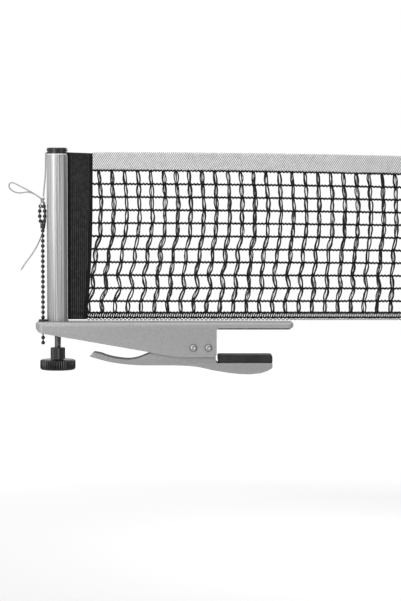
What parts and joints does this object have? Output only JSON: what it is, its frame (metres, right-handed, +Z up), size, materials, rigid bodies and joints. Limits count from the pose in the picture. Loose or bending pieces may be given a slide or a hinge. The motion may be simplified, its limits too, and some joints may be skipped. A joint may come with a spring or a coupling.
{
  "type": "table tennis net clamp",
  "caption": "Spring clamp with a slotted aluminium net post, height screw, chain-tensioned cord and an end length of net.",
  "frame": {"origin": "On the table top, at the table's edge, under the upper jaw's rubber, midway across the clamp", "axes": "+X along the net towards the middle of the table, +Y across the net, +Z up"},
  "size_m": [0.3761, 0.0318, 0.1952],
  "materials": {
    "body_paint": "satin silver-grey powder coat",
    "lever_paint": "satin silver-grey powder coat",
    "pad_rubber": "matt black rubber",
    "rivet_chrome": "bright nickel plate",
    "bush_steel": "zinc plated",
    "nylon_black": "moulded nylon",
    "spring_steel": "drawn spring wire",
    "lock_plastic": "moulded nylon",
    "chain_steel": "dark nickel plate",
    "cord_white": "braided polyester cord",
    "post_aluminium": "ground along its length",
    "cap_plastic": "moulded, slight sheen",
    "rod_plastic": "pultruded glass fibre",
    "sleeve_fabric": "ribbed cotton twill",
    "net_thread": "knotless knitted thread",
    "tape_fabric": "white woven tape",
    "hem_thread": "knitted edge cord",
    "screw_chrome": "plated steel",
    "knob_plastic": "moulded, fine grain"
  },
  "bodies": {
    "clamp": {"clamp_body": "body_paint", "jaw_pad_upper": "pad_rubber", "pivot_rivet": "rivet_chrome", "stop_rivet": "rivet_chrome", "pivot_bush": "bush_steel", "pivot_washers": "nylon_black", "torsion_spring": "spring_steel", "screw_bridge": "bush_steel", "post_guide": "nylon_black", "chain_lock": "lock_plastic", "ball_chain": "chain_steel", "chain_coupling": "chain_steel", "cord_knot": "cord_white", "tension_cord": "cord_white", "cord_loop": "cord_white", "cord_tail": "cord_white"},
    "post": {"post_tube": "post_aluminium", "post_cap": "cap_plastic", "post_foot": "nylon_black", "net_rod": "rod_plastic", "net_sleeve": "sleeve_fabric", "net_mesh": "net_thread", "net_tape": "tape_fabric", "net_hem": "hem_thread", "far_sleeve": "sleeve_fabric", "far_rod": "rod_plastic"},
    "adjuster": {"height_screw": "screw_chrome", "screw_knob": "knob_plastic", "screw_clip": "bush_steel"},
    "lever": {"lever_arm": "lever_paint", "jaw_pad_lower": "pad_rubber"}
  },
  "joints": [
    {"name": "lever_hinge", "type": "hinge", "parent": "clamp", "child": "lever", "pos_m": [-0.0201, 0, -0.0157], "axis": [0, 1, 0], "range_deg": [0, 14], "stiffness_Nm_per_rad": 1, "springref_deg": -74.48, "deforming": ["torsion_spring"]},
    {"name": "post_lift", "type": "slide", "parent": "clamp", "child": "post", "axis": [0, 0, 1], "range_m": [-0.0015, 0.004], "deforming": ["tension_cord"]},
    {"name": "adjuster_turn", "type": "hinge", "parent": "post", "child": "adjuster", "pos_m": [-0.1374, 0, -0.03], "axis": [0, 0, 1], "range_deg": [-540.1, 1440.1]}
  ],
  "couplings": [
    {"joint": "adjuster_turn", "follows": "post_lift", "rad_per_m": 6283.2}
  ]
}
